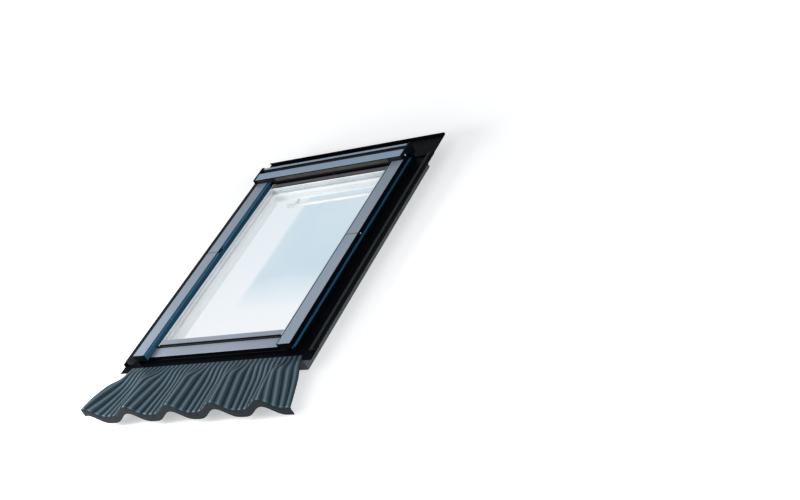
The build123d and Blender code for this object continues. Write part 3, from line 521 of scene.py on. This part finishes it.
def make_slate_apron():
    """The pleated apron: slate lacquer with a painted highlight on the pleats' crests, and painted shade
    between them and on the turned-down lip.
    """
    material, tree, shader = new_material("slate pleated apron")
    ridge = add_node(tree, "ShaderNodeAttribute", {"attribute_name": "ridge"}).outputs["Fac"]
    lip = add_node(tree, "ShaderNodeAttribute", {"attribute_name": "lip"}).outputs["Fac"]
    base = clouded(tree, (0.028, 0.052, 0.070), 9.0, 0.82, 1.12)
    crease_shade = mix_colours(tree, ramp(tree, ridge, 0.05, 0.55), (0.004, 0.008, 0.011), base)
    crest_highlight = mix_colours(tree, ramp(tree, ridge, 0.80, 1.0, 0.0, 0.85), crease_shade, (0.120, 0.170, 0.205))
    lip_shade = mix_colours(tree, lip, crest_highlight, (0.009, 0.014, 0.018))
    tree.links.new(dusted(tree, lip_shade, 0.06, 40.0, (0.10, 0.10, 0.10)), shader.inputs["Base Color"])
    uneven_roughness(tree, shader, 30.0, 0.40, 0.55)
    tree.links.new(ramp(tree, lip, 0.0, 1.0, 0.6, 0.0), shader.inputs["Metallic"])
    shader.inputs["Specular IOR Level"].default_value = 0.1
    grain_bump(tree, shader, 260.0, 0.25, 0.0006)
    return material


cover_finish = make_cover_lacquer()
# Painted shade: the hood is black in its groove and below it, the bottom bead along its front edge, and
# the bottom cover in a strip just below the bead.
hood_finish = band_lacquer("grey lacquered hood", HOOD_GREY, "Z", HOOD_SHADE_BELOW)
band_finish = band_lacquer("grey band with a painted shade line", BAND_GREY, "Y", bead_end + BAND_SHADE_LINE)
low_band_finish = band_lacquer(
    "grey band with a painted shade strip", BAND_GREY, "Y", bead_end - SHADE_STRIP, light_beyond=False
)
ledge_finish = make_ledge_lacquer()
dark_finish = matt_black("black lacquered flashing", BLACK_COAT_AND_SHADE)
# Painted light: the pivot bracket takes the inner walls' painted blue of shade and reflection, and the
# frame cover has a painted blue highlight along its top edge.
bracket_finish = matt_black("pivot bracket in the walls' painted blue", WALL_SHADE_BLUE)
cap_finish = matt_black("navy lacquered cap", CAP_NAVY)
frame_cover_finish = matt_black("black frame cover with a painted blue highlight", BLACK_COAT_AND_SHADE, FRAME_COVER_HIGHLIGHT_FROM)
top_bead_finish = make_top_bead_finish()
fascia_finish = make_fascia_finish()
apron_finish = make_slate_apron()

# Plastic, rubber, foam and bare metal


def moulded(name, colour, roughness, grain_size, depth=0.0003):
    """Moulded plastic, rubber, foam or felt with a fine grain."""
    material, tree, shader = new_material(name)
    tree.links.new(clouded(tree, colour, 14.0, 0.9, 1.08), shader.inputs["Base Color"])
    uneven_roughness(tree, shader, 60.0, roughness - 0.05, roughness + 0.08)
    grain_bump(tree, shader, grain_size, 0.25, depth)
    return material


def bright_metal(name, colour, roughness, stretch, size):
    """Bare or plated metal with the lines of rolling or drawing."""
    material, tree, shader = new_material(name)
    tree.links.new(clouded(tree, colour, 22.0, 0.86, 1.08), shader.inputs["Base Color"])
    uneven_roughness(tree, shader, 80.0, roughness - 0.06, roughness + 0.1)
    shader.inputs["Metallic"].default_value = 1.0
    bump(tree, shader, group_in(tree, drawn_lines, Stretch=stretch, Size=size)["Height"], 0.2, 0.0002)
    return material


# Painted light: the glazing seals are near-white, which lifts the shade the spacer casts on them.
seal_lightened_finish = moulded("glazing seal lightened against shade", (0.86, 0.87, 0.88), 0.6, 900.0, 0.00005)
spacer_finish = moulded("pale warm-edge spacer", (0.68, 0.71, 0.74), 0.5, 900.0, 0.00005)
rubber_finish = moulded("black rubber seal", (0.016, 0.016, 0.018), 0.62, 900.0)
sealant_finish = moulded("black glass edge seal", (0.010, 0.010, 0.011), 0.75, 500.0)
plastic_finish = moulded("white moulded plastic", (0.80, 0.80, 0.79), 0.32, 1500.0, 0.0001)
foam_finish = moulded("grey insulating collar", (0.085, 0.105, 0.115), 0.92, 160.0, 0.0012)
gutter_foam_finish = moulded("black gutter foam", (0.010, 0.011, 0.012), 0.95, 160.0, 0.0012)
filter_finish = moulded("grey filter felt", (0.30, 0.31, 0.32), 0.95, 240.0, 0.0010)
steel_finish = bright_metal("zinc plated steel", (0.62, 0.64, 0.66), 0.36, (1.0, 0.15, 1.0), 240.0)

# Timber and glass

WHITE_PAINT = (0.87, 0.875, 0.87)
EARLY_WOOD = (0.60, 0.37, 0.18)
LATE_WOOD = (0.72, 0.50, 0.29)
PAINT_ROUGHNESS = 0.36
BARE_ROUGHNESS = 0.6
ALONG_THE_GRAIN = 0.06
FRAME_STILE_BARE = 0.3895
FRAME_RAIL_BARE = 0.5885
SASH_STILE_BARE = 0.3415
FRAME_SHADE_FROM = 0.012
SASH_SHADE_FROM = 0.036


def timber(name, along, bare_side=None, shade_above=None):
    """White painted pine. Hidden faces are bare wood, and above a given height the timber is black, which
    paints the shade in the gaps under the covers.
    """
    stretch = [ALONG_THE_GRAIN if axis == along else 1.0 for axis in "XYZ"]
    material, tree, shader = new_material(name)
    wood = group_in(tree, pine, Stretch=stretch, Rings=26.0)
    colour = clouded(tree, WHITE_PAINT, 8.0, 0.97, 1.01)
    shader.inputs["Roughness"].default_value = PAINT_ROUGHNESS
    if bare_side is not None:
        axis, limit = bare_side
        ringed = mix_colours(tree, wood["Rings"], EARLY_WOOD, LATE_WOOD)
        pores = ramp(tree, wood["Fibres"], 0.0, 1.0, 0.86, 1.08)
        bare = above(tree, place_axis(tree, axis, size_only=True), limit)
        colour = mix_colours(tree, bare, colour, mix_colours(tree, 1.0, ringed, pores, "MULTIPLY"))
        rough = ramp(tree, bare, 0.0, 1.0, PAINT_ROUGHNESS, BARE_ROUGHNESS)
        tree.links.new(rough, shader.inputs["Roughness"])
    # Painted shade: above the given height the timber is black.
    if shade_above is not None:
        colour = mix_colours(tree, above(tree, place_axis(tree, "Z"), shade_above), colour, BLACK_COAT_AND_SHADE)
        shader.inputs["Specular IOR Level"].default_value = 0.2
    tree.links.new(colour, shader.inputs["Base Color"])
    bump(tree, shader, wood["Fibres"], 0.05, 0.0003)
    return material


def make_glass():
    """Clear float glass with a faint blue coating. Light for what lies under it passes straight on."""
    material, tree, shader = new_material("coated float glass")
    shader.inputs["Base Color"].default_value = (0.955, 0.982, 0.992, 1.0)
    shader.inputs["Roughness"].default_value = 0.0
    shader.inputs["IOR"].default_value = 1.52
    shader.inputs["Transmission Weight"].default_value = 1.0
    rays = tree.nodes.new("ShaderNodeLightPath").outputs
    straight_on = add_node(tree, "ShaderNodeBsdfTransparent", Color=(1.0, 1.0, 1.0, 1.0))
    gathered = maths(tree, "MAXIMUM", rays["Is Shadow Ray"], rays["Is Diffuse Ray"])
    clear, passed = shader.outputs[0], straight_on.outputs[0]
    show(tree, add_node(tree, "ShaderNodeMixShader", i0=gathered, i1=clear, i2=passed).outputs[0])
    return material


frame_stile_finish = timber("frame stile timber", "Y", ("X", FRAME_STILE_BARE), FRAME_SHADE_FROM)
frame_rail_finish = timber("frame rail timber", "X", ("Y", FRAME_RAIL_BARE), FRAME_SHADE_FROM)
sash_stile_finish = timber("sash stile timber", "Y", ("X", SASH_STILE_BARE))
sash_rail_finish = timber("sash rail timber", "X")
sash_low_rail_finish = timber("sash bottom rail timber", "X", shade_above=SASH_SHADE_FROM)
flap_finish = timber("flap timber", "X")
glass_finish = make_glass()

# Which finish each piece has, by the longest start of its name that is listed

finish_of = {
    "frame_stile": frame_stile_finish,
    "frame_top_rail": frame_rail_finish,
    "frame_bottom_rail": frame_rail_finish,
    "sash_stile": sash_stile_finish,
    "sash_top_rail": sash_rail_finish,
    "sash_bottom_rail": sash_low_rail_finish,
    "vent_flap": flap_finish,
    "upper_cover": cover_finish,
    "lower_cover": cover_finish,
    "hood_cap": cap_finish,
    "hood_fascia": fascia_finish,
    "hood_supports": steel_finish,
    # Painted shade: the keeper takes the black finish so that it reads as the shade in the gap between
    # fascia and top bead.
    "keeper": dark_finish,
    "hood": hood_finish,
    "pivot_arm": cover_finish,
    "pivot_bracket": bracket_finish,
    "bottom_bead_seal": rubber_finish,
    "bottom_bead": band_finish,
    "bottom_cover": low_band_finish,
    "frame_cover": frame_cover_finish,
    "flashing_apron": apron_finish,
    "flashing": dark_finish,
    "side_bead": ledge_finish,
    "top_bead": top_bead_finish,
    "outer_pane": glass_finish,
    "inner_pane": glass_finish,
    "pane_spacer": spacer_finish,
    "pane_edge_seal": sealant_finish,
    "outer_gasket": seal_lightened_finish,
    "inner_gasket": seal_lightened_finish,
    "frame_seals": rubber_finish,
    "flap_seal": rubber_finish,
    "control_bar": plastic_finish,
    "bar_arms": plastic_finish,
    "latch_case": plastic_finish,
    "bolt_housing": plastic_finish,
    "air_filter": filter_finish,
    "collar": foam_finish,
    "gutter_foam": gutter_foam_finish,
}


def finish_for(name):
    best = max((key for key in finish_of if name.startswith(key)), key=len, default=None)
    return finish_of[best] if best else steel_finish


for node_name, solid in nodes.items():
    chosen = finish_for(node_name)
    if not solid.material_slots:
        solid.data.materials.append(chosen)
    for place in solid.material_slots:
        place.link = "OBJECT"
        place.material = chosen

# The apron: a sheet with pleats that fan out and take up the wave of the tiles below it

low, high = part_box("flashing_apron")
TILE_PITCH = 0.218
TILE_ROLL = 0.045
ROLL_SHARPNESS = 1.6
ROLL_FROM_EDGE = 0.012
PLEATS_TO_A_TILE = 8
PLEAT_RISE = 0.0048
PLEAT_ROUNDNESS = 0.8
PLEATS_FROM = 0.02
PLEATS_FULL = 0.16
DRAPE_FROM = 0.09
DRAPE_FULL = 0.46
APRON_TOP_WIDTH = 0.860
SHEET = 0.0012
SHEET_AT_SILL = 0.0124
SHEET_IN_PAN = 0.0012
STEPS_TO_A_PLEAT = 12
ROWS = 44
LIP_FORWARD = 0.003
LIP_STEPS = ((-0.0010, -0.0004), (-0.0010, -0.0012), (-0.0008, -0.0028), (0, -0.0130), (0, -0.0160))
FRONT_ROW = 0.0005
LIP_FROM = 0.0021
FLAT_FROM = 0.0023
FLAT_BELOW = 0.010
FLAT_START = 0.005
FLAT_OVER = 0.0282
LIP_KICK = 0.0004
apron_width = high[0] - low[0]
apron_length = high[1] - low[1] - LIP_FORWARD
front = high[1] - apron_length
pleat_count = round(apron_width / (TILE_PITCH / PLEATS_TO_A_TILE))


def down_the_sheet(y):
    return min(max((high[1] - y) / apron_length, 0.0), 1.0)


def width_at(y):
    return APRON_TOP_WIDTH + (apron_width - APRON_TOP_WIDTH) * down_the_sheet(y)


def eased(value, start, end):
    share = min(max((value - start) / (end - start), 0.0), 1.0)
    return share * share * (3 - 2 * share)


def drape(y):
    """How far the sheet has taken the tiles' shape at this distance below the sill."""
    return eased(down_the_sheet(y), DRAPE_FROM, DRAPE_FULL)


def tile_swell(x):
    turn = 2 * math.pi * (x - low[0] - ROLL_FROM_EDGE) / TILE_PITCH
    return (0.5 + 0.5 * math.cos(turn)) ** ROLL_SHARPNESS


def pleat_crest(x, y):
    phase = (x / width_at(y) + 0.5) * pleat_count
    return abs(math.sin(math.pi * phase)) ** PLEAT_ROUNDNESS


def pleat_height(x, y):
    return pleat_crest(x, y) * eased(down_the_sheet(y), PLEATS_FROM, PLEATS_FULL)


def model_apron_sheet():
    bpy.ops.mesh.primitive_grid_add(
        x_subdivisions=pleat_count * STEPS_TO_A_PLEAT,
        y_subdivisions=ROWS,
        size=1.0,
        location=((low[0] + high[0]) / 2, high[1] - apron_length / 2, SHEET_AT_SILL),
    )
    apron = name_new("pleated_apron")
    bpy.ops.transform.resize(value=(apron_width, apron_length, 1.0))
    settle(apron)
    for vert in apron.data.vertices:
        vert.co.x *= width_at(vert.co.y) / apron_width
    return apron


def drape_and_pleat(apron):
    weigh_points(apron, "drape", lambda co: drape(co.y) * tile_swell(co.x))
    weigh_points(apron, "lower", lambda co: drape(co.y))
    weigh_points(apron, "pleats", lambda co: pleat_height(co.x, co.y))
    # ridge marks the pleats' crests, where the apron's material paints a highlight, with painted shade in
    # the creases.
    mark_points(apron, "ridge", lambda co: pleat_crest(co.x, co.y))
    displace = {"direction": "Z", "mid_level": 0.0}
    drop = SHEET_IN_PAN - SHEET_AT_SILL
    finish_with(apron, "DISPLACE", "tiles", vertex_group="drape", strength=TILE_ROLL, **displace)
    finish_with(apron, "DISPLACE", "rest", vertex_group="lower", strength=drop, **displace)
    finish_with(apron, "DISPLACE", "pleats", vertex_group="pleats", strength=PLEAT_RISE, **displace)


def turn_down_lip(apron):
    """The front edge goes over in a small round and down, and its pleats run out into a flat hem."""
    open_mesh(apron, "EDGE")
    pick_edges(apron, lambda edge: all(v.co.y < front + FRONT_ROW for v in edge.verts))
    for forward, down in LIP_STEPS:
        bpy.ops.mesh.extrude_edges_move(TRANSFORM_OT_translate={"value": (0, forward, down)})
    close_mesh()
    for vert in apron.data.vertices:
        if vert.co.y >= front - FLAT_FROM:
            continue
        pleat = pleat_height(vert.co.x, front) * PLEAT_RISE
        below = SHEET_IN_PAN + TILE_ROLL * tile_swell(vert.co.x) + pleat - vert.co.z
        if below > FLAT_BELOW:
            share = min((below - FLAT_START) / FLAT_OVER, 1.0)
            vert.co.z -= share * pleat
            vert.co.y += LIP_KICK * share
    # lip marks the turned-down front, which the material darkens as painted shade.
    mark_points(apron, "lip", lambda co: float(co.y < front - LIP_FROM))


apron = model_apron_sheet()
drape_and_pleat(apron)
turn_down_lip(apron)
finish_with(apron, "SOLIDIFY", "sheet", thickness=SHEET, offset=1.0)
smooth_below(apron, 50)
apron.data.materials.append(apron_finish)
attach(apron, "frame")
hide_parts("flashing_apron")

# Small pan-head screws on the covers

SCREW_RADIUS = 0.0035
SCREW_HEAD = 0.0022
SCREW_RIM = 0.0013
SCREW_CROWN = 0.0003
RECESS_RIM = 0.0006
RECESS_DEPTH = 0.0012
SCREW_EDGE = 0.0003
PIVOT_SCREW_AT = (0.036, 0.055)
CAP_SCREW_AT = (0.515, 0.080)


def model_screw():
    bpy.ops.mesh.primitive_cylinder_add(
        vertices=24, radius=SCREW_RADIUS, depth=SCREW_HEAD, location=(0, 0, SCREW_HEAD / 2)
    )
    screw = name_new("cover_screw")
    open_mesh(screw, "FACE")
    pick_faces(screw, lambda face: face.normal.z > 0.9)
    bpy.ops.mesh.inset(thickness=SCREW_RIM)
    bpy.ops.transform.translate(value=(0, 0, SCREW_CROWN))
    bpy.ops.mesh.inset(thickness=RECESS_RIM)
    bpy.ops.mesh.extrude_region_move(TRANSFORM_OT_translate={"value": (0, 0, -RECESS_DEPTH)})
    close_mesh()
    settle(screw)
    finish_with(screw, "BEVEL", "soft edge", width=SCREW_EDGE, segments=2, limit_method="ANGLE")
    smooth_below(screw, 40)
    screw.data.materials.append(steel_finish)
    return screw


def place_screw(master, name, point, normal):
    turn = Vector((0, 0, 1)).rotation_difference(Vector(normal)).to_matrix().to_4x4()
    screw = copy_of(master, name)
    screw.data.transform(Matrix.Translation(Vector(point)) @ turn)
    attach(screw, "frame")


master_screw = model_screw()
cap_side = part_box("hood_cap_right")[1][0]
for side, sign in (("right", 1), ("left", -1)):
    outward = (sign, 0, 0)
    place_screw(master_screw, f"pivot_cover_screw_{side}", (sign * cover_side, *PIVOT_SCREW_AT), outward)
    place_screw(master_screw, f"cap_screw_{side}", (sign * cap_side, *CAP_SCREW_AT), outward)
bpy.data.objects.remove(master_screw)

# Camera, as the picture was taken

CAMERA_PLACE = (3.5431, -3.5824, 2.5964)
CAMERA_RIGHT = (0.8233, 0.3732, -0.4277)
CAMERA_UP = (0.1037, 0.6420, 0.7597)
CAMERA_LENS = 62.25


def place_camera():
    data = bpy.data.cameras.new("camera")
    camera = bpy.data.objects.new("camera", data)
    bpy.context.collection.objects.link(camera)
    right, up = Vector(CAMERA_RIGHT), Vector(CAMERA_UP)
    turn = Matrix((right, up, right.cross(up))).transposed().to_4x4()
    camera.matrix_world = Matrix.Translation(CAMERA_PLACE) @ turn
    data.sensor_width = 36.0
    data.lens = CAMERA_LENS
    data.clip_end = 100.0
    bpy.context.scene.camera = camera


place_camera()

# Floor, world and lamps

WHITE = (1.0, 1.0, 1.0)
BLACK = (0.0, 0.0, 0.0)
FLOOR_WHITE = (0.86, 0.86, 0.86)
FLOOR_GLOW = 0.45
GLOW_FROM = 1.0
GLOW_WHITE = 2.2
SKY_BLUE = (0.460, 0.625, 0.740)
SKY_CLOUD = (0.600, 0.700, 0.785)
HAZE_LOW = (0.930, 0.910, 0.930)
HAZE_HIGH = (0.770, 0.820, 0.870)
HAZE_REACH = 0.35
SKY_FROM_X = -0.190
SKY_EDGE_X = 0.025
SKY_FROM_Y = -0.240
SKY_EDGE_Y = 0.22
DAYLIGHT = (0.86, 0.93, 1.0, 1.0)
DAYLIGHT_LEVEL = 0.27


def seen_rays(tree, through_glass):
    """One for rays that show the background: from the camera, off gloss and, if asked, through glass."""
    rays = tree.nodes.new("ShaderNodeLightPath").outputs
    straight = maths(tree, "MAXIMUM", rays["Is Camera Ray"], rays["Is Glossy Ray"])
    choice = "MAXIMUM" if through_glass else "GREATER_THAN"
    return maths(tree, choice, straight, rays["Is Transmission Ray"])


def painted_sky_behind_panes(tree):
    """A painted sky that glows on the floor seen through the panes: pale, bluer up the slope and to the
    right, with a hazy rest.
    """
    across, along = place_axis(tree, "X"), place_axis(tree, "Y")
    clouds = ramp(tree, noise_at(tree, own_place(tree), 2.6, 3.0), 0.42, 0.72)
    from_left = ramp(tree, across, SKY_FROM_X, SKY_FROM_X + SKY_EDGE_X)
    from_front = ramp(tree, along, SKY_FROM_Y, SKY_FROM_Y + SKY_EDGE_Y)
    haze = mix_colours(tree, ramp(tree, along, -HAZE_REACH, HAZE_REACH), HAZE_LOW, HAZE_HIGH)
    blue = mix_colours(tree, clouds, SKY_BLUE, SKY_CLOUD)
    return mix_colours(tree, maths(tree, "MULTIPLY", from_left, from_front), haze, blue)


def make_floor_finish():
    """A white floor that keeps the shadow, glows white further out and, through the panes, glows with a
    painted sky in place of the floor.
    """
    material, tree, shader = new_material("pale floor")
    through = tree.nodes.new("ShaderNodeLightPath").outputs["Is Transmission Ray"]
    tree.links.new(mix_colours(tree, through, FLOOR_WHITE, BLACK), shader.inputs["Base Color"])
    shader.inputs["Roughness"].default_value = 0.9
    shader.inputs["Specular IOR Level"].default_value = 0.1
    reach = add_node(tree, "ShaderNodeVectorMath", {"operation": "LENGTH"}, i0=own_place(tree))
    white_glow = ramp(tree, reach.outputs["Value"], GLOW_FROM, GLOW_WHITE, FLOOR_GLOW, 1.0)
    seen_glow = maths(tree, "MULTIPLY", seen_rays(tree, through_glass=False), white_glow)
    level = maths(tree, "MAXIMUM", seen_glow, through)
    # Painted sky: rays through the panes see the floor glow in sky colours.
    colour = mix_colours(tree, through, WHITE, painted_sky_behind_panes(tree))
    glow = add_node(tree, "ShaderNodeEmission", Color=colour, Strength=level)
    show(tree, add_node(tree, "ShaderNodeAddShader", i0=shader.outputs[0], i1=glow.outputs[0]).outputs[0])
    return material


def lay_floor():
    bpy.ops.mesh.primitive_plane_add(size=40.0, location=(0, 0, solid_box[0][2] - 0.0001))
    floor = name_new("floor")
    floor.data.materials.append(make_floor_finish())


def make_world():
    world = bpy.data.worlds.new("studio")
    bpy.context.scene.world = world
    world.use_nodes = True
    tree = world.node_tree
    tree.nodes.clear()
    output = tree.nodes.new("ShaderNodeOutputWorld")
    shown = add_node(tree, "ShaderNodeBackground", Color=(*WHITE, 1.0), Strength=1.0).outputs[0]
    lit = add_node(tree, "ShaderNodeBackground", Color=DAYLIGHT, Strength=DAYLIGHT_LEVEL).outputs[0]
    seen = seen_rays(tree, through_glass=True)
    choose = add_node(tree, "ShaderNodeMixShader", i0=seen, i1=lit, i2=shown)
    tree.links.new(choose.outputs[0], output.inputs[0])


def add_lamp(name, place, size, power):
    data = bpy.data.lights.new(name, "AREA")
    data.shape = "SQUARE"
    data.size = size
    data.energy = power
    lamp = bpy.data.objects.new(name, data)
    bpy.context.collection.objects.link(lamp)
    lamp.location = place
    lamp.rotation_euler = (-Vector(place)).to_track_quat("-Z", "Y").to_euler()


lay_floor()
make_world()
add_lamp("main", (0.5, -2.6, 3.0), 3.0, 35.0)
add_lamp("side", (-1.2, -1.2, 1.0), 0.8, 30.0)
add_lamp("low right", (2.6, -1.2, 1.1), 1.2, 35.0)
bpy.context.scene.view_settings.view_transform = "Standard"
